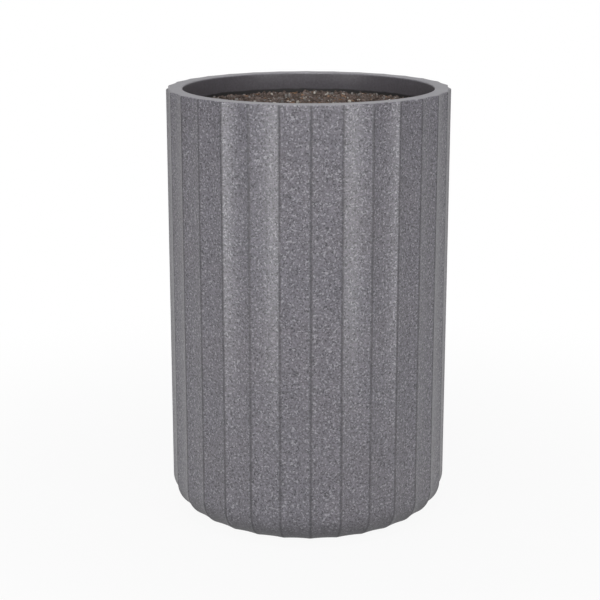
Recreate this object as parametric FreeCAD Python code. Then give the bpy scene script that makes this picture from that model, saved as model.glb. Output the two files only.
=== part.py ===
import FreeCAD, Part
import math
import os

# A tall round fiberglass planter: one fluted moulding with a turned-in rim, a rounded
# lower edge and a hollow foot, and inside it a drain plug, a screen, gravel, fleece and soil.
# Millimetres. +Z is up, and the origin is the middle of the foot, on the ground.
# An arris between two flutes faces -Y.

# Fluted outside
outer_radius = 200.0        # to the crests of the arrises
height = 610.0
flute_count = 30
flute_radius = 120.0        # how tightly each hollow flute is curved, seen from above
arris_radius = 3.0          # rounding of the ridge between two flutes
lower_radius = 42.0         # the lower edge, rounded under towards the foot

# Rim and wall
rim_width = 23.0            # flat top, from the crests to the opening
rim_thickness = 6.0
rim_bevel = 1.5             # both edges of the flat top
lip_depth = 45.0            # how far the rim turns down inside
lip_thickness = 5.0
wall_thickness = 4.5        # at the bottom of a flute

# Floor, foot and drain
floor_thickness = 6.0
foot_height = 4.0           # the floor's underside stands clear of the ground by this much
foot_width = 16.0           # the ring that the planter stands on
drain_radius = 11.0

# Drain plug, a rubber bung with a flange and a narrower nose
plug_clearance = 0.3        # round its stem, in the drain hole
plug_step = 1.5             # how much narrower the nose is than the stem
plug_flange_radius = 17.0
plug_flange_thickness = 3.0
plug_nose = 3.0             # how far the plug reaches above the floor

# Screen over the drain, a shallow dish upside down, pierced by a square grid
screen_radius = 34.0
screen_thickness = 1.5
screen_edge = 5.0           # flat flange that lies on the floor
screen_mesh = 6.0           # side of one square hole
screen_bar = 4.0            # between two holes

# Fill
fill_clearance = 0.5        # between each filling and what stands round it
gravel_rise = 36.0          # how far the gravel reaches up the straight part of the wall
fleece_thickness = 2.0
soil_drop = 28.0            # from the flat rim down to the soil

# Straight runs that make up the rounded lower edge, outside and inside
lower_runs = 6
inner_runs = 2

# Sizes that follow from those above
flute_step = 2 * math.pi / flute_count
first_arris = -math.pi / 2
crest_centre = outer_radius - arris_radius
flute_reach = math.sqrt((flute_radius + arris_radius) ** 2
                        - (crest_centre * math.sin(flute_step / 2)) ** 2)
flute_centre = crest_centre * math.cos(flute_step / 2) + flute_reach
valley_radius = flute_centre - flute_radius
inner_radius = valley_radius - wall_thickness
opening_radius = outer_radius - rim_width
foot_radius = outer_radius - lower_radius
floor_top = foot_height + floor_thickness
lip_bottom = height - lip_depth
under_rim = height - rim_thickness
gravel_top = lower_radius + gravel_rise
fleece_top = gravel_top + fleece_thickness
soil_top = height - soil_drop
plug_radius = drain_radius - plug_clearance
plug_top = floor_top + plug_nose
screen_dish = screen_radius - screen_edge
screen_rise = plug_top + fill_clearance + screen_thickness


def polar(radius, angle, z=0.0):
    return FreeCAD.Vector(radius * math.cos(angle), radius * math.sin(angle), z)


def revolved(points):
    # a closed outline of (radius, height) points, turned all the way round the Z axis
    corners = [FreeCAD.Vector(r, 0, z) for r, z in points]
    face = Part.Face(Part.makePolygon(corners + corners[:1]))
    return face.revolve(FreeCAD.Vector(0, 0, 0), FreeCAD.Vector(0, 0, 1), 360)


def round_run(centre, radius, start, end, runs):
    # (radius, height) points along an arc round a centre, from one angle to another, in radians
    points = []
    for index in range(runs + 1):
        angle = start + (end - start) * index / runs
        points.append((centre[0] + radius * math.cos(angle), centre[1] + radius * math.sin(angle)))
    return points


def touch_point(arris, turn, scale, z):
    # where the rounding of an arris meets the flute on one side of it
    crest = polar(crest_centre, arris)
    flute = polar(flute_centre, arris + turn)
    toward = (flute - crest).normalize()
    point = (crest + toward * arris_radius) * scale
    return FreeCAD.Vector(point.x, point.y, z)


def ring_outline(radius, z):
    # the fluted outline at one height: a rounded arris, then a hollow flute, all the way round
    scale = radius / outer_radius
    half = flute_step / 2
    edges = []
    for index in range(flute_count):
        arris = first_arris + index * flute_step
        before = touch_point(arris, -half, scale, z)
        after = touch_point(arris, half, scale, z)
        following = touch_point(arris + flute_step, -half, scale, z)
        edges.append(Part.Arc(before, polar(radius, arris, z), after).toShape())
        edges.append(Part.Arc(after, polar(scale * valley_radius, arris + half, z), following).toShape())
    return Part.Wire(edges)


def fluted_body():
    # the flutes follow a quarter circle out from the foot, narrowing with the radius,
    # then run straight up to the eased outer edge of the flat rim
    rings = round_run((foot_radius, lower_radius), lower_radius, -math.pi / 2, 0, lower_runs)
    rings += [(outer_radius, height - rim_bevel), (outer_radius - rim_bevel, height)]
    return Part.makeLoft([ring_outline(radius, z) for radius, z in rings], True, True)


def lower_run(radius, z, runs):
    # from the height z out and up to the straight wall, round the lower edge's centre
    start = math.asin(max(-1.0, (z - lower_radius) / radius))
    return round_run((foot_radius, lower_radius), radius, start, 0, runs)


def cavity():
    # the hollow inside, with the pocket behind the turned-down lip
    lip_outer = opening_radius + lip_thickness
    mouth = opening_radius + rim_bevel
    above = height + rim_thickness
    outline = [(0, floor_top)] + lower_run(inner_radius - foot_radius, floor_top, inner_runs)
    outline += [(inner_radius, under_rim), (lip_outer, under_rim), (lip_outer, lip_bottom),
                (opening_radius, lip_bottom), (opening_radius, height - rim_bevel),
                (mouth, height), (mouth, above), (0, above)]
    return revolved(outline)


def foot_recess():
    # the hollow under the floor, inside the ring that meets the ground
    corner = FreeCAD.Vector(0, 0, -foot_height)
    return Part.makeCylinder(foot_radius - foot_width, 2 * foot_height, corner)


def planter_shell():
    drain = Part.makeCylinder(drain_radius, height, FreeCAD.Vector(0, 0, -foot_height))
    return fluted_body().cut(cavity()).cut(foot_recess()).cut(drain)


def drain_plug():
    # a flange under the floor, a stem that fills the hole, and a narrower nose above the floor
    low = foot_height - plug_flange_thickness
    nose = plug_radius - plug_step
    return revolved([(0, low), (plug_flange_radius, low), (plug_flange_radius, foot_height),
                     (plug_radius, foot_height), (plug_radius, floor_top), (nose, floor_top),
                     (nose, plug_top), (0, plug_top)])


def screen_hole(column, row):
    # one square hole of the grid, through the raised middle
    step = screen_mesh + screen_bar
    corner = FreeCAD.Vector(column * step - screen_mesh / 2, row * step - screen_mesh / 2, floor_top)
    return Part.makeBox(screen_mesh, screen_mesh, screen_rise, corner)


def drain_screen():
    # a raised disc on a short wall, with a flat edge that lies on the floor
    inner = screen_dish - screen_thickness
    roof = screen_rise - screen_thickness
    edge_top = floor_top + screen_thickness
    disc = revolved([(0, screen_rise), (screen_dish, screen_rise), (screen_dish, edge_top),
                     (screen_radius, edge_top), (screen_radius, floor_top), (inner, floor_top),
                     (inner, roof), (0, roof)])
    step = screen_mesh + screen_bar
    reach = inner - screen_mesh
    span = range(-int(reach / step), int(reach / step) + 1)
    holes = [screen_hole(column, row) for column in span for row in span
             if math.hypot(column, row) * step < reach]
    return disc.cut(Part.makeCompound(holes))


def drainage_gravel():
    # fills the rounded bottom round the screen, clear of the wall
    radius = inner_radius - foot_radius - fill_clearance
    hollow = screen_radius + fill_clearance
    roof = screen_rise + fill_clearance
    outline = lower_run(radius, floor_top, inner_runs)
    outline += [(foot_radius + radius, gravel_top), (0, gravel_top), (0, roof), (hollow, roof),
                (hollow, floor_top)]
    return revolved(outline)


def filter_fleece():
    radius = inner_radius - fill_clearance
    return Part.makeCylinder(radius, fleece_thickness, FreeCAD.Vector(0, 0, gravel_top))


def potting_soil():
    # wide below the rim's lip, then up inside the lip
    wide = inner_radius - fill_clearance
    narrow = opening_radius - fill_clearance
    step = lip_bottom - fill_clearance
    return revolved([(0, fleece_top), (wide, fleece_top), (wide, step), (narrow, step),
                     (narrow, soil_top), (0, soil_top)])


pieces = {
    "planter_shell": planter_shell,
    "drain_plug": drain_plug,
    "drain_screen": drain_screen,
    "drainage_gravel": drainage_gravel,
    "filter_fleece": filter_fleece,
    "potting_soil": potting_soil,
}

os.makedirs("parts", exist_ok=True)
for name, make in pieces.items():
    shape = make()
    solid = shape.Solids[0]
    solid.exportStep(os.path.join("parts", name + ".step"))
    print(name, "valid", solid.isValid(), "solids", len(shape.Solids), "litres %.4f" % (solid.Volume / 1e6))
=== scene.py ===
import math
import random

import bmesh
import bpy
from mathutils import Euler, Matrix, Vector, noise


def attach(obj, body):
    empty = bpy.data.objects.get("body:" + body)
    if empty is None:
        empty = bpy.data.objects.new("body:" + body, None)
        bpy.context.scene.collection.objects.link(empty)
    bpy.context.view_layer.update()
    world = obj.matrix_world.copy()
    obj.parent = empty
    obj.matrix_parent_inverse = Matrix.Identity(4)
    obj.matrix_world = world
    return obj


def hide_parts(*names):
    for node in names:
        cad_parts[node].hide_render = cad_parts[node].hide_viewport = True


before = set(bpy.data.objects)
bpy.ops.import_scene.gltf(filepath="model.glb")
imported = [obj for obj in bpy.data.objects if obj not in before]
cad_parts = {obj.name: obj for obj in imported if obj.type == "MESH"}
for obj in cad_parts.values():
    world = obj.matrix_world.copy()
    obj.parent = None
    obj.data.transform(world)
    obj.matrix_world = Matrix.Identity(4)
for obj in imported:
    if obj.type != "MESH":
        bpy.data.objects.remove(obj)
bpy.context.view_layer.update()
print("frame loaded:", sorted(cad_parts))


class Shade:
    # one socket in a node tree; arithmetic on it adds Math nodes
    def __init__(self, tree, socket=None):
        self.tree = tree
        self.socket = socket

    def node(self, kind, settings=None, values=None, out=0):
        # a node of any kind: its settings first, then the values or links of its sockets
        made = self.tree.nodes.new(kind)
        for name, value in (settings or {}).items():
            setattr(made, name, value)
        for key, value in (values or {}).items():
            if isinstance(value, Shade):
                self.tree.links.new(value.socket, made.inputs[key])
            else:
                made.inputs[key].default_value = value
        return Shade(self.tree, made.outputs[out] if len(made.outputs) else None)

    def output(self, key):
        # another output of the same node
        return Shade(self.tree, self.socket.node.outputs[key])

    def compute(self, operation, first, second=0.0):
        return self.node("ShaderNodeMath", {"operation": operation}, {0: first, 1: second})

    def __add__(self, other):
        return self.compute("ADD", self, other)

    def __radd__(self, other):
        return self.compute("ADD", other, self)

    def __sub__(self, other):
        return self.compute("SUBTRACT", self, other)

    def __rsub__(self, other):
        return self.compute("SUBTRACT", other, self)

    def __mul__(self, other):
        return self.compute("MULTIPLY", self, other)

    def __rmul__(self, other):
        return self.compute("MULTIPLY", other, self)

    def __truediv__(self, other):
        return self.compute("DIVIDE", self, other)

    def __rtruediv__(self, other):
        return self.compute("DIVIDE", other, self)

    def smooth(self, low, high):
        # 0 at low, 1 at high, eased between them
        return self.node("ShaderNodeMapRange", {"interpolation_type": "SMOOTHSTEP"},
                         {"Value": self, "From Min": low, "From Max": high})

    def blend(self, first, second):
        # from the first colour to the second as this socket goes from 0 to 1
        return self.node("ShaderNodeMix", {"data_type": "RGBA"},
                         {0: self, 6: first, 7: second}, 2)  # 6, 7 and 2 are the colour sockets

    def place(self, shift=(0, 0, 0), stretch=(1, 1, 1)):
        # where the surface is on the object, moved and stretched so that two patterns differ
        here = self.node("ShaderNodeTexCoord", out="Object")
        return self.node("ShaderNodeMapping",
                         values={"Vector": here, "Location": shift, "Scale": stretch})

    def height(self):
        return self.node("ShaderNodeSeparateXYZ", values={"Vector": self.place()}, out="Z")

    def across(self):
        # x, y and the distance from the planter's axis
        here = self.node("ShaderNodeSeparateXYZ", values={"Vector": self.place()})
        x, y = here.output("X"), here.output("Y")
        return x, y, self.compute("SQRT", x * x + y * y)

    def noise(self, scale, detail=2.0, roughness=0.5, shift=(0, 0, 0), stretch=(1, 1, 1)):
        return self.node("ShaderNodeTexNoise", values={
            "Vector": self.place(shift, stretch), "Scale": scale,
            "Detail": detail, "Roughness": roughness})

    def bump(self, strength, distance, under=None):
        values = {"Height": self, "Strength": strength, "Distance": distance}
        if under:
            values["Normal"] = under
        return self.node("ShaderNodeBump", values=values)


def linear(colour):
    # a screen colour, 0 to 255, as the linear value that Blender keeps
    parts = [c / 255 for c in colour]
    parts = [c / 12.92 if c <= 0.04045 else ((c + 0.055) / 1.055) ** 2.4 for c in parts]
    return tuple(parts) + (1.0,)


def newMaterial(name):
    material = bpy.data.materials.new(name)
    material.use_nodes = True
    material.node_tree.nodes.clear()
    return material, Shade(material.node_tree)


def finishMaterial(shade, values):
    surface = shade.node("ShaderNodeBsdfPrincipled", values=values)
    shade.node("ShaderNodeOutputMaterial", values={"Surface": surface})


def meshObject(name, mesh, materials, smooth=True):
    for material in materials:
        mesh.materials.append(material)
    mesh.polygons.foreach_set("use_smooth", [smooth] * len(mesh.polygons))
    made = bpy.data.objects.new(name, mesh)
    bpy.context.scene.collection.objects.link(made)
    return made


def meshFrom(name, bm):
    bmesh.ops.recalc_face_normals(bm, faces=bm.faces)
    mesh = bpy.data.meshes.new(name)
    bm.to_mesh(mesh)
    bm.free()
    return mesh


def turnedRing(bm, radius, z, segments, lift=lambda x, y: 0.0):
    # points all the way round, each raised by lift at its place; a radius of 0 is one point
    if radius == 0:
        return [bm.verts.new((0, 0, z + lift(0, 0)))]
    ring = []
    for index in range(segments):
        angle = 2 * math.pi * index / segments
        x, y = radius * math.cos(angle), radius * math.sin(angle)
        ring.append(bm.verts.new((x, y, z + lift(x, y))))
    return ring


def ringStrip(bm, lower, upper, finish=0):
    # faces between two rings of the same length; either may be a single point
    count = max(len(lower), len(upper))
    for index in range(count):
        after = (index + 1) % count
        if len(lower) == 1:
            corners = [lower[0], upper[after], upper[index]]
        elif len(upper) == 1:
            corners = [lower[index], lower[after], upper[0]]
        else:
            corners = [lower[index], lower[after], upper[after], upper[index]]
        bm.faces.new(corners).material_index = finish


def joinRings(bm, rings):
    for lower, upper in zip(rings, rings[1:]):
        ringStrip(bm, lower, upper)


def arcPoints(centre, radius, start, end, steps):
    # (radius, height) points along an arc, angles in degrees
    angles = [math.radians(start + (end - start) * step / steps) for step in range(steps + 1)]
    return [(centre[0] + radius * math.cos(a), centre[1] + radius * math.sin(a)) for a in angles]


# the camera comes first, at the angle of the photograph
cameraPlace = {
    "distance": 2.074, "height": 0.8600,  # from the planter's axis, and above the floor
    "turn": 1.07, "pitch": 13.16, "yaw": -0.330,  # degrees
    "lens": 88.48, "sensor": 36, "shift": -0.085,
}


def buildCamera():
    c = cameraPlace
    data = bpy.data.cameras.new("camera")
    data.lens = c["lens"]
    data.sensor_width = c["sensor"]
    data.shift_y = c["shift"]
    camera = bpy.data.objects.new("camera", data)
    bpy.context.scene.collection.objects.link(camera)
    turn = math.radians(c["turn"])
    away = c["distance"]
    camera.location = (-away * math.sin(turn), -away * math.cos(turn), c["height"])
    heading = Matrix.Rotation(-turn - math.radians(c["yaw"]), 4, "Z")
    tilt = Matrix.Rotation(math.radians(90 - c["pitch"]), 4, "X")
    camera.rotation_euler = (heading @ tilt).to_euler()
    bpy.context.scene.camera = camera


buildCamera()


# the fluted shell: outside, rim, turned-down lip, inner wall, floor, foot and drain hole
shell = {
    "outerRadius": 0.200, "height": 0.610, "lowerRadius": 0.042,
    "fluteCount": 30, "fluteRadius": 0.120, "arrisRadius": 0.003,
    "rimWidth": 0.023, "rimThickness": 0.006, "lipDepth": 0.045, "lipThickness": 0.005,
    "wallThickness": 0.0045, "floorThickness": 0.006,
    "footHeight": 0.004, "footWidth": 0.016, "drainRadius": 0.011,
    # rounded edges
    "rimRound": 0.0020, "openingRound": 0.0024, "lipRound": 0.0012, "pocketRound": 0.003,
    "drainRound": 0.0008, "drainUnderRound": 0.0006, "footRound": 0.0012,
    # on the flat rim the scallops fade out towards the opening
    "fadeInset": 0.004, "fadeShare": 0.6, "rimFlat": 0.003,  # the last, a ring by the opening
    # how finely it is cut
    "lowerSteps": 18, "wallRings": 6, "arrisSteps": 4, "fluteSteps": 12,
    "innerTurn": -66, "innerSteps": 9,  # how far the inner wall follows the lower edge, degrees
    "floorRings": [(0.93, 0.0002), (0.88, 0.0), (0.5, 0.0)],  # share of the foot, rise
    "sharpAngle": 50,
}
granite = {
    "base": (121, 119, 127), "warm": (125, 120, 126),
    "shade": (96, 94, 101), "light": (142, 139, 148),
    "pale": (194, 192, 199), "dark": (54, 53, 59),
    "rim": (120, 118, 125), "inner": (92, 89, 94),
    # the foot colour is painted shade towards the bottom of the outside; the darkest one is
    # painted shade under the turned edge and along the soil's edge
    "arris": (52, 51, 55), "foot": (48, 47, 51), "paintedShade": (28, 25, 24),
    "grainScale": 300.0, "darkScale": 400.0, "paleScale": 370.0,
    "darkShare": 0.80, "paleShare": 0.62,
    "arrisFade": (0.0006, 0.0028),  # from the ridge, metres
    # painted shade: how high the outside darkens towards the foot, and how strongly
    "footShadeHeight": 0.052, "footShadeShare": 0.75,
    "underEdgeShadeBand": (0.0010, 0.0090), "underEdgeShadeShare": 0.65,  # painted shade under the turned edge, fading out between these heights above the ground
    "soilEdgeShadeHeight": 0.5862, "soilEdgeShadeShare": 0.94,  # top of the painted shade along the soil's edge on the inner wall
    "roughness": 0.27, "gloss": 0.9,
}
laminate = {
    "resin": (92, 90, 88), "cloudy": (112, 109, 104), "glass": (138, 134, 124),
    "strandScale": 90.0, "strandLength": 6.0,
}


def fluteSamples():
    # (angle, radius) across one flute, from the top of one arris to just before the next
    step = 2 * math.pi / shell["fluteCount"]
    ridge = shell["arrisRadius"]
    crest = shell["outerRadius"] - ridge
    reach = math.sqrt((shell["fluteRadius"] + ridge) ** 2 - (crest * math.sin(step / 2)) ** 2)
    centre = crest * math.cos(step / 2) + reach
    crestPoint = Vector((crest, 0, 0))
    flutePoint = Vector((centre * math.cos(step / 2), centre * math.sin(step / 2), 0))
    toward = (flutePoint - crestPoint).normalized()
    turn = math.atan2(toward.y, toward.x)
    steps = shell["arrisSteps"] // 2
    points = []
    for index in range(steps):
        angle = turn * index / steps
        points.append(crestPoint + Vector((math.cos(angle), math.sin(angle), 0)) * ridge)
    touch = crestPoint + toward * ridge
    axis = flutePoint.normalized()
    half = (touch - flutePoint).angle(-axis)
    for index in range(shell["fluteSteps"] + 1):
        angle = -half + 2 * half * index / shell["fluteSteps"]
        spoke = Matrix.Rotation(-angle, 3, "Z") @ (-axis) * shell["fluteRadius"]
        points.append(flutePoint + spoke)
    for index in range(1, steps):
        angle = -turn + turn * index / steps
        near = Vector((math.cos(angle), math.sin(angle), 0)) * ridge
        points.append(Matrix.Rotation(step, 3, "Z") @ (crestPoint + near))
    return [(math.atan2(p.y, p.x), p.length) for p in points]


def outsideSections():
    # (fluted radius, round radius, share of fluting, height, finish), foot to rim
    s = shell
    foot = s["outerRadius"] - s["lowerRadius"]
    points = arcPoints((foot, s["lowerRadius"]), s["lowerRadius"], -90, 0, s["lowerSteps"])
    rise = s["height"] - s["rimRound"] - s["lowerRadius"]
    for index in range(s["wallRings"]):
        points.append((s["outerRadius"], s["lowerRadius"] + rise * (index + 1) / s["wallRings"]))
    edge = (s["outerRadius"] - s["rimRound"], s["height"] - s["rimRound"])
    points += arcPoints(edge, s["rimRound"], 0, 90, 5)[1:]
    onRim = 3  # the last points of the rounded edge have the rim's finish
    sections = [(r, 0, 1, z, 0) for r, z in points[:-onRim]]
    return sections + [(r, 0, 1, z, 1) for r, z in points[-onRim:]]


def insideSections(inner):
    # from the flat rim over the opening and down the inside, out and under to the foot
    s = shell
    foot = s["outerRadius"] - s["lowerRadius"]
    recess = foot - s["footWidth"]
    opening = s["outerRadius"] - s["rimWidth"]
    lipOuter = opening + s["lipThickness"]
    lipBottom = s["height"] - s["lipDepth"]
    underRim = s["height"] - s["rimThickness"]
    floorTop = s["footHeight"] + s["floorThickness"]
    lipRound, pocketRound, footRound = s["lipRound"], s["pocketRound"], s["footRound"]
    drain, drainRound, drainUnder = s["drainRadius"], s["drainRound"], s["drainUnderRound"]

    mouth = (opening + s["openingRound"], s["height"] - s["openingRound"])
    rim = [(mouth[0] + s["rimFlat"], s["height"])]
    rim += arcPoints(mouth, s["openingRound"], 90, 150, 4)
    visible = arcPoints(mouth, s["openingRound"], 165, 180, 1)
    visible += [(opening, lipBottom + lipRound)]
    visible += arcPoints((opening + lipRound, lipBottom + lipRound), lipRound, 180, 270, 3)[1:]
    hidden = arcPoints((lipOuter - lipRound, lipBottom + lipRound), lipRound, 270, 360, 3)
    hidden += [(lipOuter, underRim), (inner - pocketRound, underRim)]
    pocket = (inner - pocketRound, underRim - pocketRound)
    hidden += arcPoints(pocket, pocketRound, 90, 0, 3)[1:]
    centre = (foot, s["lowerRadius"])
    hidden += arcPoints(centre, inner - foot, 0, s["innerTurn"], s["innerSteps"])
    # the rounded wall runs out into the flat floor
    hidden += [(foot * share, floorTop + rise) for share, rise in s["floorRings"]]
    hidden += [(drain + drainRound, floorTop), (drain, floorTop - drainRound)]
    hidden += [(drain, s["footHeight"] + drainUnder), (drain + drainUnder, s["footHeight"])]
    middle = foot * s["floorRings"][-1][0]
    hidden += [(middle, s["footHeight"]), (recess - footRound, s["footHeight"])]
    hidden += [(recess, s["footHeight"] - footRound), (recess, footRound)]
    hidden += [(recess + footRound, 0.0)]
    runs = ((1, rim), (2, visible), (3, hidden))
    return [(0, r, 0, z, finish) for finish, run in runs for r, z in run]


def buildShell(materials):
    s = shell
    step = 2 * math.pi / s["fluteCount"]
    samples = fluteSamples()
    inner = min(radius for angle, radius in samples) - s["wallThickness"]
    fading = (s["outerRadius"] - s["fadeInset"], inner + s["fadeInset"], s["fadeShare"],
              s["height"], 1)
    sections = outsideSections() + [fading, (0, inner, 0, s["height"], 1)] + insideSections(inner)
    bm = bmesh.new()
    rings = []
    for fluted, plain, share, z, finish in sections:
        ring = []
        for flute in range(s["fluteCount"]):
            for angle, radius in samples:
                turned = -math.pi / 2 + flute * step + angle
                r = radius * fluted / s["outerRadius"] * share + plain * (1 - share)
                ring.append(bm.verts.new((r * math.cos(turned), r * math.sin(turned), z)))
        rings.append(ring)
    for index, (lower, upper) in enumerate(zip(rings, rings[1:] + rings[:1])):
        ringStrip(bm, lower, upper, sections[index][4])
    made = meshObject("flutedShell", meshFrom("flutedShell", bm), materials)
    made.data.set_sharp_from_angle(angle=math.radians(s["sharpAngle"]))
    return made


def graniteColour(shade, flecks):
    # a grey ground that drifts a little in tone, mottled, with fine dark and pale flecks
    g = granite
    drift = shade.noise(7.0, 3.0, 0.55).smooth(0.32, 0.68)
    ground = drift.blend(linear(g["base"]), linear(g["warm"]))
    grain = shade.noise(g["grainScale"], 3.0, 0.62)
    mottled = grain.smooth(0.34, 0.66).blend(linear(g["shade"]), linear(g["light"]))
    share = shade.noise(24.0).smooth(0.2, 0.8) * 0.3 + 0.55
    colour = share.blend(ground, mottled)
    dark = shade.noise(g["darkScale"], 1.0, 0.5, (3.1, 1.7, 5.3)).smooth(0.58, 0.66)
    pale = shade.noise(g["paleScale"], 1.0, 0.5, (8.2, 4.4, 0.9)).smooth(0.59, 0.67)
    colour = (dark * (g["darkShare"] * flecks)).blend(colour, linear(g["dark"]))
    colour = (pale * (g["paleShare"] * flecks)).blend(colour, linear(g["pale"]))
    return colour, grain


def arrisMask(shade):
    # 1 along the ridge between two flutes, 0 about three millimetres to each side
    x, y, away = shade.across()
    step = 2 * math.pi / shell["fluteCount"]
    turns = shade.compute("ARCTAN2", x, 0 - y) / step
    offset = shade.compute("ABSOLUTE", turns - shade.compute("ROUND", turns))
    return 1 - (offset * step * away).smooth(*granite["arrisFade"])


def outsideMarksAndShade(shade, colour, roughness):
    # darker arrises, painted shade towards the foot, and painted shade where the edge turns under
    g = granite
    # darker along each arris, more in some patches than in others
    marked = arrisMask(shade)
    arrisPatches = shade.noise(38.0, 3.0, 0.6, (1.3, 0.4, 2.0)).smooth(0.3, 0.7) * 0.20 + 0.48
    colour = (marked * arrisPatches).blend(colour, linear(g["arris"]))
    high = shade.height()
    # painted shade: the outside darkens towards the foot, its top edge ragged
    ragged = high + (shade.noise(22.0, 3.0, 0.6, (0.0, 2.0, 1.0)) - 0.5) * 0.02
    dustAndShade = 1 - ragged.smooth(0.0, g["footShadeHeight"])
    colour = (dustAndShade * g["footShadeShare"]).blend(colour, linear(g["foot"]))
    # painted shade where the lower edge turns under towards the floor
    underEdgeShade = 1 - high.smooth(*g["underEdgeShadeBand"])
    colour = (underEdgeShade * g["underEdgeShadeShare"]).blend(colour, linear(g["paintedShade"]))
    return colour, roughness + marked * 0.10 + dustAndShade * 0.12


def coatedFinishAndShade(shade, colour, roughness, tone, cover):
    # a smoother coat over most flecks, and painted shade on the wall just above the soil's edge
    g = granite
    coat = shade.noise(60.0, 2.0, 0.5, (7, 2, 3)).smooth(0.2, 0.8) * 0.12 + cover
    colour = coat.blend(colour, linear(g[tone]))
    # painted shade in the gap where the soil meets the wall, with a ragged top
    ragged = shade.height() + (shade.noise(45.0, 3.0, 0.6, (0.0, 2.0, 1.0)) - 0.5) * 0.004
    soilEdgeShade = 1 - ragged.smooth(g["soilEdgeShadeHeight"] - 0.0016, g["soilEdgeShadeHeight"] + 0.0008)
    colour = (soilEdgeShade * g["soilEdgeShadeShare"]).blend(colour, linear(g["paintedShade"]))
    return colour, roughness + soilEdgeShade * 0.3


def graniteMaterial(name, tone=None, cover=0.0):
    # the fluted outside, or with a tone the coat of the rim and the inside
    material, shade = newMaterial(name)
    colour, grain = graniteColour(shade, 1 - cover)
    cloud = shade.noise(14.0, 3.0, 0.6) * 0.14
    roughness = cloud + granite["roughness"] + (grain - 0.5) * 0.10
    if tone:
        colour, roughness = coatedFinishAndShade(shade, colour, roughness, tone, cover)
    else:
        colour, roughness = outsideMarksAndShade(shade, colour, roughness)
    fine = grain.bump(0.20, 0.0004)
    wavy = shade.noise(11.0, 2.0, 0.4).bump(0.10, 0.004, fine)
    finishMaterial(shade, {"Base Color": colour, "Roughness": roughness, "Normal": wavy,
                           "IOR": 1.5, "Specular IOR Level": granite["gloss"]})
    return material


def laminateMaterial():
    # the unpainted side of the moulding: resin over chopped glass strands
    material, shade = newMaterial("rawLaminate")
    scale, long = laminate["strandScale"], laminate["strandLength"]
    strands = shade.noise(scale, 3.0, 0.7, (0, 0, 0), (1.0, long, 1.0))
    crossed = shade.noise(scale, 3.0, 0.7, (4, 1, 7), (long, 1.0, 1.0))
    woven = shade.compute("MAXIMUM", strands, crossed)
    cloudy = shade.noise(18.0, 3.0, 0.6)
    mottled = cloudy.blend(linear(laminate["resin"]), linear(laminate["cloudy"]))
    colour = (woven.smooth(0.52, 0.66) * 0.5).blend(mottled, linear(laminate["glass"]))
    resin = shade.noise(60.0, 2.0, 0.5, (2, 2, 2)) * 0.2 + 0.5
    finishMaterial(shade, {"Base Color": colour, "Roughness": resin,
                           "Normal": woven.bump(0.5, 0.0007)})
    return material


outsideFinish = graniteMaterial("graniteSatin")
rimFinish = graniteMaterial("graniteSatinRim", "rim", 0.60)
insideFinish = graniteMaterial("graniteSatinInside", "inner", 0.70)
flutedShell = buildShell([outsideFinish, rimFinish, insideFinish, laminateMaterial()])
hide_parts("planter_shell")
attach(flutedShell, "planter")
print("shell:", len(flutedShell.data.polygons), "faces")


# crumbs and pebbles are built from one small ball, bent and turned differently for each
stone = {"turn": 6.28, "lyingTilt": 0.3, "bendScale": 1.3, "seedReach": 50}


def ballTemplate(subdivisions):
    bm = bmesh.new()
    bmesh.ops.create_icosphere(bm, subdivisions=subdivisions, radius=1.0)
    points = [v.co.copy() for v in bm.verts]
    faces = [[v.index for v in f.verts] for f in bm.faces]
    bm.free()
    return points, faces


def emptyHeap():
    return {"points": [], "faces": [], "finishes": []}


def addToHeap(heap, points, faces, finish):
    first = len(heap["points"])
    heap["points"] += points
    heap["faces"] += [[first + i for i in face] for face in faces]
    heap["finishes"] += [finish] * len(faces)


def addStone(heap, template, rng, centre, half, rough, finish, lying=False):
    # one stone of half sizes (x, y, z) about its centre, its points pushed in and out by rough
    points, faces = template
    tilt, reach = stone["lyingTilt"], stone["seedReach"]
    if lying:
        turns = (0, rng.uniform(-tilt, tilt), rng.uniform(0, stone["turn"]))
    else:
        turns = [rng.uniform(0, stone["turn"]) for axis in range(3)]
    turn = Euler(turns).to_matrix()
    seed = Vector([rng.uniform(-reach, reach) for axis in range(3)])
    bent = []
    for point in points:
        push = 1 + rough * noise.noise(point * stone["bendScale"] + seed)
        local = Vector((point.x * half[0], point.y * half[1], point.z * half[2])) * push
        bent.append(Vector(centre) + turn @ local)
    addToHeap(heap, bent, faces, finish)


def heapObject(name, heap, materials, smooth):
    mesh = bpy.data.meshes.new(name)
    mesh.from_pydata(heap["points"], [], heap["faces"])
    mesh.polygons.foreach_set("material_index", heap["finishes"])
    mesh.validate()
    return meshObject(name, mesh, materials, smooth)


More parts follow.
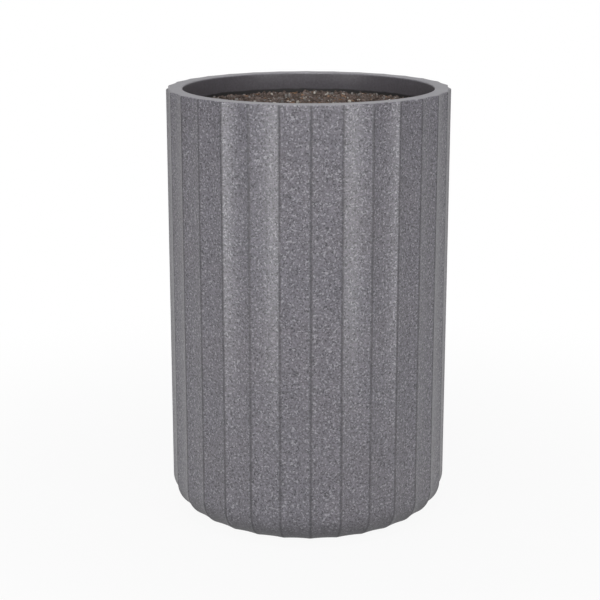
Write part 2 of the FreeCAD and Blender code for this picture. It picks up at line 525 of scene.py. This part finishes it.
# the potting soil, filled to a little under the rim, crumbly on top
soil = {
    "low": 0.0800, "level": 0.5806, "wide": 0.1922, "narrow": 0.1765, "step": 0.5645,
    "segments": 252, "rings": 74,
    # scale and height of each unevenness, and the level at which the noise is cut
    "lumps": [(16, 0.0020), (55, 0.0022)], "grit": [(130, 0.0014), (330, 0.0007)], "cut": 0.37,
    "highest": 0.0019, "edgeDrop": 0.0050, "edgeWidth": 0.0070,
    "crumbs": 6800, "seed": 41, "crumbMargin": 0.0042, "crumbHighest": 0.0022,
    "crumbSmallest": 0.0006, "crumbSpread": 0.0029, "crumbRarity": 2.6, "crumbRough": 0.5,
    "crumbShape": [(0.9, 1.4), (0.7, 1.1), (0.5, 0.9)], "crumbBall": 1,
    "flake": 2, "flakeShape": (2.0, 0.9, 0.42),  # the finish that lies flat, and its form
    "clodScale": 120.0, "speckScale": 420.0, "dampScale": 9.0,
    "finishes": [
        ("soilPeat", (66, 56, 51), (106, 93, 86)),
        ("soilLoam", (100, 87, 80), (138, 122, 115)),
        ("soilBark", (118, 88, 66), (152, 122, 98)),
        ("soilGrit", (112, 109, 107), (152, 147, 144)),
        ("soilPerlite", (176, 170, 162), (212, 208, 200)),
    ],
    "shares": [0.40, 0.36, 0.10, 0.09, 0.05],
}


def soilLift(x, y):
    # lumps and grit, cut off at the highest, falling away close to the wall
    here = Vector((x, y, soil["cut"]))
    lumps = sum(noise.noise(here * scale) * size for scale, size in soil["lumps"])
    grit = sum(noise.noise(here * scale) * size for scale, size in soil["grit"])
    inside = soil["narrow"] - soil["edgeWidth"]
    edge = max(0.0, (math.hypot(x, y) - inside) / soil["edgeWidth"])
    return min(lumps + grit, soil["highest"]) - soil["edgeDrop"] * edge * edge


def soilMaterial(name, dark, light):
    material, shade = newMaterial(name)
    clods = shade.noise(soil["clodScale"], 4.0, 0.65)
    cells = shade.node("ShaderNodeTexVoronoi", out="Color",
                       values={"Vector": shade.place((1, 2, 3)), "Scale": soil["speckScale"]})
    speck = shade.node("ShaderNodeSeparateColor", values={"Color": cells})
    toned = clods.smooth(0.30, 0.70) * 0.7 + speck * 0.3
    damp = shade.noise(soil["dampScale"], 2.0, 0.5, (5, 1, 2)).smooth(0.35, 0.65) * 0.25
    colour = damp.blend(toned.blend(linear(dark), linear(light)), linear(dark))
    finishMaterial(shade, {"Base Color": colour, "Roughness": clods * 0.15 + 0.82,
                           "Normal": clods.bump(0.7, 0.0012)})
    return material


def addSoilBody(heap):
    s = soil
    bm = bmesh.new()
    corners = [(0, s["low"]), (s["wide"], s["low"]), (s["wide"], s["step"]),
               (s["narrow"], s["step"])]
    rings = [turnedRing(bm, r, z, s["segments"]) for r, z in corners]
    for index in range(s["rings"] + 1):
        radius = s["narrow"] * (1 - index / s["rings"])
        rings.append(turnedRing(bm, radius, s["level"], s["segments"], soilLift))
    joinRings(bm, rings)
    bmesh.ops.recalc_face_normals(bm, faces=bm.faces)
    bm.verts.index_update()
    faces = [[v.index for v in f.verts] for f in bm.faces]
    addToHeap(heap, [v.co.copy() for v in bm.verts], faces, 0)
    bm.free()


def addCrumb(heap, template, rng):
    s = soil
    angle = rng.uniform(0, 2 * math.pi)
    radius = (s["narrow"] - s["crumbMargin"]) * math.sqrt(rng.random())
    x, y = radius * math.cos(angle), radius * math.sin(angle)
    finish = rng.choices(range(len(s["shares"])), s["shares"])[0]
    size = s["crumbSmallest"] + s["crumbSpread"] * rng.random() ** s["crumbRarity"]
    half = [size * rng.uniform(low, high) for low, high in s["crumbShape"]]
    flake = finish == s["flake"]
    if flake:
        half = [size * part for part in s["flakeShape"]]
    sunk = soilLift(x, y) + half[2] * rng.uniform(0.0, 0.7)
    lift = min(sunk, s["crumbHighest"] - half[2] * 0.5)
    addStone(heap, template, rng, (x, y, s["level"] + lift), half, s["crumbRough"], finish, flake)


def buildSoil():
    rng = random.Random(soil["seed"])
    heap = emptyHeap()
    addSoilBody(heap)
    template = ballTemplate(soil["crumbBall"])
    for index in range(soil["crumbs"]):
        addCrumb(heap, template, rng)
    materials = [soilMaterial(*finish) for finish in soil["finishes"]]
    return heapObject("pottingSoil", heap, materials, smooth=False)


pottingSoil = buildSoil()
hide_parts("potting_soil")
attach(pottingSoil, "planter")
print("soil:", len(pottingSoil.data.polygons), "faces")


# the gravel under the soil, packed in layers round the drain screen
gravel = {
    "low": 0.0100, "top": 0.0780, "foot": 0.158, "lowerRadius": 0.042, "inner": 0.1922,
    "screen": 0.0345, "screenTop": 0.0155, "wallGap": 1.06, "screenGap": 1.05,
    "layers": 3, "pitch": 0.0215, "rowPitch": 0.87, "layerShift": 0.3, "jitter": 0.0012,
    "half": 0.0106, "shape": [(0.84, 1.0), (0.74, 0.92), (0.60, 0.86)], "rough": 0.16,
    "ball": 2, "seed": 7,
    "finishes": [
        ("pebbleGrey", (96, 95, 93), (142, 140, 136)),
        ("pebbleBuff", (128, 112, 92), (168, 152, 128)),
        ("pebbleSlate", (64, 66, 70), (100, 102, 106)),
    ],
    "shares": [0.5, 0.28, 0.22],
}


def pebbleMaterial(name, dark, light):
    material, shade = newMaterial(name)
    cloud = shade.noise(55.0, 4.0, 0.6)
    vein = shade.noise(28.0, 2.0, 0.5, (3, 3, 1), (1, 1, 5)).smooth(0.47, 0.53)
    speck = shade.noise(700.0, 1.0, 0.5, (6, 2, 4)).smooth(0.58, 0.70) * 0.4
    body = cloud.smooth(0.3, 0.7).blend(linear(dark), linear(light))
    colour = speck.blend((vein * 0.2).blend(body, linear(light)), linear(dark))
    finishMaterial(shade, {"Base Color": colour, "Roughness": cloud * 0.25 + 0.50,
                           "Normal": cloud.bump(0.35, 0.0010)})
    return material


def addPebbleLayer(heap, template, rng, layer):
    g = gravel
    pitch, jitter, size = g["pitch"], g["jitter"], g["half"]
    rise = (g["top"] - g["low"] - 2 * size) / (g["layers"] - 1)
    z = g["low"] + size + rise * layer
    below = max(0.0, g["lowerRadius"] - (z - size * 0.8))
    curve = g["inner"] - g["foot"]
    wall = g["foot"] + math.sqrt(max(0.0, curve ** 2 - below ** 2))
    besideScreen = z - size < g["screenTop"]
    count = int(g["inner"] / pitch) + 2
    for row in range(-count, count + 1):
        for column in range(-count, count + 1):
            shifted = column + row % 2 / 2 + layer % 2 * g["layerShift"]
            x = shifted * pitch + rng.uniform(-jitter, jitter)
            y = row * pitch * g["rowPitch"] + rng.uniform(-jitter, jitter)
            radius = math.hypot(x, y)
            near = besideScreen and radius < g["screen"] + size * g["screenGap"]
            if radius > wall - size * g["wallGap"] or near:
                continue
            half = [size * rng.uniform(low, high) for low, high in g["shape"]]
            finish = rng.choices(range(len(g["shares"])), g["shares"])[0]
            addStone(heap, template, rng, (x, y, z), half, g["rough"], finish)


def buildGravel():
    rng = random.Random(gravel["seed"])
    heap = emptyHeap()
    template = ballTemplate(gravel["ball"])
    for layer in range(gravel["layers"]):
        addPebbleLayer(heap, template, rng, layer)
    materials = [pebbleMaterial(*finish) for finish in gravel["finishes"]]
    return heapObject("drainageGravel", heap, materials, smooth=True)


drainageGravel = buildGravel()
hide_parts("drainage_gravel")
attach(drainageGravel, "planter")
print("gravel:", len(drainageGravel.data.polygons), "faces")


# the fleece disc that lies between the gravel and the soil
fleece = {
    "radius": 0.1922, "low": 0.0781, "thickness": 0.0016, "segments": 180, "rings": 30,
    "waveScale": 60, "waveHeight": 0.00022,
    "shade": (196, 194, 188), "light": (224, 222, 216), "fibre": (238, 237, 233),
    "fibreScale": 260.0, "fibreLength": 9,
}


def fleeceLift(x, y):
    scale = fleece["waveScale"]
    return noise.noise(Vector((x * scale, y * scale, 4.0))) * fleece["waveHeight"]


def fleeceMaterial():
    material, shade = newMaterial("needledFleece")
    matted = shade.noise(160.0, 5.0, 0.7)
    scale, long = fleece["fibreScale"], fleece["fibreLength"]
    fibres = shade.noise(scale, 3.0, 0.7, (1, 1, 1), (1, long, 1))
    crossed = shade.noise(scale, 3.0, 0.7, (2, 5, 1), (long, 1, 1))
    strands = shade.compute("MAXIMUM", fibres, crossed)
    body = matted.smooth(0.3, 0.7).blend(linear(fleece["shade"]), linear(fleece["light"]))
    colour = (strands.smooth(0.55, 0.70) * 0.5).blend(body, linear(fleece["fibre"]))
    finishMaterial(shade, {"Base Color": colour, "Roughness": matted * 0.1 + 0.88,
                           "Normal": strands.bump(0.6, 0.0005), "Sheen Weight": 0.25})
    return material


def buildFleece():
    f = fleece
    bm = bmesh.new()
    radii = [f["radius"] * index / f["rings"] for index in range(f["rings"] + 1)]
    top = f["low"] + f["thickness"]
    rings = [turnedRing(bm, r, f["low"], f["segments"], fleeceLift) for r in radii]
    rings += [turnedRing(bm, r, top, f["segments"], fleeceLift) for r in reversed(radii)]
    joinRings(bm, rings)
    return meshObject("filterFleece", meshFrom("filterFleece", bm), [fleeceMaterial()])


filterFleece = buildFleece()
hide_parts("filter_fleece")
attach(filterFleece, "planter")
print("fleece:", len(filterFleece.data.polygons), "faces")


# the moulded screen over the drain keeps its CAD form and gets eased edges
screen = {
    "edge": 0.0004, "edgeSegments": 2, "edgeAngle": 40,
    "colour": (34, 36, 38), "marked": (58, 60, 62),
}


def screenMaterial():
    material, shade = newMaterial("screenPlastic")
    cloud = shade.noise(45.0, 3.0, 0.6)
    fine = shade.noise(900.0, 2.0, 0.6)
    colour = cloud.smooth(0.45, 0.75).blend(linear(screen["colour"]), linear(screen["marked"]))
    finishMaterial(shade, {"Base Color": colour, "Roughness": cloud * 0.2 + 0.38,
                           "Normal": fine.bump(0.3, 0.0002)})
    return material


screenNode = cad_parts["drain_screen"]
screenNode.data.materials.clear()
screenNode.data.materials.append(screenMaterial())
eased = screenNode.modifiers.new("easedEdges", "BEVEL")
eased.width = screen["edge"]
eased.segments = screen["edgeSegments"]
eased.limit_method = "ANGLE"
eased.angle_limit = math.radians(screen["edgeAngle"])
print("screen finished")


# the rubber plug: a flange with a finger hollow and a grip bar below, a stem and a rounded nose
plug = {
    "flangeRadius": 0.0170, "flangeLow": 0.0010, "flangeTop": 0.0040, "stemRadius": 0.0107,
    "floorTop": 0.0100, "noseRadius": 0.0092, "noseTop": 0.0130,
    "hollow": 0.0068, "hollowRoof": 0.0074, "segments": 72,
    # rounded edges
    "roofInset": 0.0012, "roofRound": 0.0010, "hollowRound": 0.0008, "flangeRound": 0.0012,
    "shoulderRound": 0.0010, "stemInset": 0.0006, "stemEase": 0.0004, "noseFoot": 0.0003,
    "noseRound": 0.0016, "sharpAngle": 60,
    # the grip bar: half its width and height, and how much thicker its ends are
    "gripHigh": 0.0034, "gripHalf": 0.0012, "gripRise": 0.0014, "gripFlare": 0.8,
    "gripBury": 0.0004, "gripRuns": 12, "gripSides": 12,
    "colour": (30, 30, 31), "soft": (44, 44, 45), "marked": (62, 61, 60),
}


def rubberMaterial():
    material, shade = newMaterial("plugRubber")
    cloud = shade.noise(70.0, 4.0, 0.6)
    dustAndShade = shade.noise(240.0, 2.0, 0.6, (2, 0, 1)).smooth(0.55, 0.72) * 0.35
    body = cloud.smooth(0.3, 0.8).blend(linear(plug["colour"]), linear(plug["soft"]))
    finishMaterial(shade, {"Base Color": dustAndShade.blend(body, linear(plug["marked"])),
                           "Roughness": cloud * 0.2 + 0.55, "Normal": cloud.bump(0.25, 0.0004)})
    return material


def plugProfile():
    # (radius, height) from the roof of the hollow, out under the flange and up to the nose
    p = plug
    roof, mouth = p["hollow"] - p["roofInset"], p["hollowRound"]
    flange, shoulder, nose = p["flangeRound"], p["shoulderRound"], p["noseRound"]
    low, top, stem, floorTop = p["flangeLow"], p["flangeTop"], p["stemRadius"], p["floorTop"]
    points = [(0, p["hollowRoof"]), (roof, p["hollowRoof"])]
    points += arcPoints((roof, p["hollowRoof"] - p["roofRound"]), p["roofRound"], 80, 0, 3)
    points += arcPoints((p["hollow"] + mouth, low + mouth), mouth, 180, 270, 4)
    points += arcPoints((p["flangeRadius"] - flange, low + flange), flange, 270, 360, 5)
    points += arcPoints((p["flangeRadius"] - shoulder, top - shoulder), shoulder, 0, 90, 4)
    points += [(stem + p["stemInset"], top), (stem, top + p["stemEase"])]
    points += [(stem, floorTop - p["stemEase"]), (stem - p["stemInset"], floorTop)]
    points += [(p["noseRadius"], floorTop + p["noseFoot"])]
    points += arcPoints((p["noseRadius"] - nose, p["noseTop"] - nose), nose, 0, 90, 5)
    return points + [(0, p["noseTop"])]


def addGripBar(bm):
    # it crosses the hollow, thicker at its ends than in the middle
    p = plug
    reach = p["hollow"] + p["gripBury"]
    sides = p["gripSides"]
    loop = arcPoints((0, 0), 1.0, 0, 360 * (sides - 1) / sides, sides - 1)
    rings = []
    for index in range(p["gripRuns"] + 1):
        along = -1 + 2 * index / p["gripRuns"]
        wide = p["gripHalf"] * (1 + p["gripFlare"] * along ** 4)
        rings.append([bm.verts.new((along * reach, y * wide, p["gripHigh"] + z * p["gripRise"]))
                      for y, z in loop])
    joinRings(bm, rings)
    bm.faces.new(rings[0])
    bm.faces.new(rings[-1])


def buildPlug():
    bm = bmesh.new()
    joinRings(bm, [turnedRing(bm, r, z, plug["segments"]) for r, z in plugProfile()])
    addGripBar(bm)
    made = meshObject("drainPlug", meshFrom("drainPlug", bm), [rubberMaterial()])
    made.data.set_sharp_from_angle(angle=math.radians(plug["sharpAngle"]))
    return made


drainPlug = buildPlug()
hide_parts("drain_plug")
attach(drainPlug, "plug")
print("plug:", len(drainPlug.data.polygons), "faces")


# floor and lights: a tall softbox at each side of the camera draws the flutes, large ones
# in front, behind and above light the rest, and the room is white to the camera
studio = {
    "floorRadius": 7.0, "floorLow": -0.0002, "floorRings": 8, "floorSegments": 96,
    "floorTones": ((196, 196, 196), (204, 204, 204)), "white": (1, 1, 1, 1),
    "floorWhite": 0.93, "floorFade": (0.28, 1.1),  # share of pure white, and where it grows to 1
    "ambient": 0.19, "gloss": 0.5, "wallDark": 0.8, "wallFade": (0.60, 0.92),
    "lamps": [
        # name, angle from the camera, distance, height, size, power, height it points at
        ("leftSoftbox", -42.0, 1.05, 0.66, (0.18, 1.3), 2.7, 0.66),
        ("rightSoftbox", 42.0, 1.05, 0.66, (0.18, 1.3), 2.3, 0.66),
        ("frontSoftbox", 0.0, 3.2, 2.2, (2.6, 1.7), 31.0, 0.34),
        ("backSoftbox", 180.0, 2.4, 3.1, (2.6, 1.4), 21.0, 0.34),
        ("topSoftbox", 0.0, 0.3, 2.6, (0.9, 0.9), 13.0, 0.6),
    ],
}


def floorMaterial():
    # white to the camera and in reflections, grey under the lamps, so it keeps the shadow
    material, shade = newMaterial("paleFloor")
    dark, light = studio["floorTones"]
    mottled = shade.noise(3.0, 3.0, 0.5).blend(linear(dark), linear(light))
    lit = shade.node("ShaderNodeBsdfPrincipled", values={
        "Base Color": mottled, "Roughness": shade.noise(40.0) * 0.1 + 0.8})
    white = shade.node("ShaderNodeEmission", values={"Color": studio["white"], "Strength": 1.0})
    path = shade.node("ShaderNodeLightPath")
    seen = shade.compute("MAXIMUM", path.output("Is Camera Ray"),
                         path.output("Is Glossy Ray") * studio["gloss"])
    away = shade.across()[2]
    growing = away.smooth(*studio["floorFade"]) * (1 - studio["floorWhite"])
    share = seen * (growing + studio["floorWhite"])
    mixed = shade.node("ShaderNodeMixShader", values={0: share, 1: lit, 2: white})
    shade.node("ShaderNodeOutputMaterial", values={"Surface": mixed})
    return material


def buildFloor():
    bm = bmesh.new()
    count, segments = studio["floorRings"], studio["floorSegments"]
    radii = [studio["floorRadius"] * index / count for index in range(count + 1)]
    joinRings(bm, [turnedRing(bm, r, studio["floorLow"], segments) for r in radii])
    mesh = meshFrom("floor", bm)
    floor = meshObject("floor", mesh, [floorMaterial()], smooth=False)
    if mesh.polygons[0].normal.z < 0:
        mesh.flip_normals()


def buildWorld():
    world = bpy.data.worlds.new("studioWorld")
    bpy.context.scene.world = world
    world.use_nodes = True
    world.node_tree.nodes.clear()
    shade = Shade(world.node_tree)
    path = shade.node("ShaderNodeLightPath")
    glossy = shade.compute("MAXIMUM", path.output("Is Glossy Ray"),
                           path.output("Is Transmission Ray"))
    # the room's side walls are dark in reflections, so the flutes keep their contrast
    way = shade.node("ShaderNodeTexCoord", out="Generated")
    sideways = shade.node("ShaderNodeSeparateXYZ", values={"Vector": way}, out="X")
    toSide = shade.compute("ABSOLUTE", sideways).smooth(*studio["wallFade"])
    walls = 1 - toSide * studio["wallDark"]
    seen = shade.compute("MAXIMUM", path.output("Is Camera Ray"),
                         glossy * walls * studio["gloss"])
    plain = shade.node("ShaderNodeBackground", values={
        "Color": studio["white"], "Strength": studio["ambient"]})
    white = shade.node("ShaderNodeBackground", values={
        "Color": studio["white"], "Strength": 1.0})
    mixed = shade.node("ShaderNodeMixShader", values={0: seen, 1: plain, 2: white})
    shade.node("ShaderNodeOutputWorld", values={"Surface": mixed})


def addSoftbox(name, angle, distance, height, size, power, aim):
    # the angle is counted from the camera's side of the planter, to its right
    data = bpy.data.lights.new(name, "AREA")
    data.shape = "RECTANGLE"
    data.size, data.size_y = size
    data.energy = power
    lamp = bpy.data.objects.new(name, data)
    bpy.context.scene.collection.objects.link(lamp)
    turned = math.radians(angle - cameraPlace["turn"])
    lamp.location = (distance * math.sin(turned), -distance * math.cos(turned), height)
    toward = Vector((0, 0, aim)) - lamp.location
    lamp.rotation_euler = toward.to_track_quat("-Z", "Y").to_euler()
    lamp.visible_camera = False


buildFloor()
buildWorld()
for lamp in studio["lamps"]:
    addSoftbox(*lamp)
bpy.context.scene.view_settings.view_transform = "Standard"
print("studio ready")
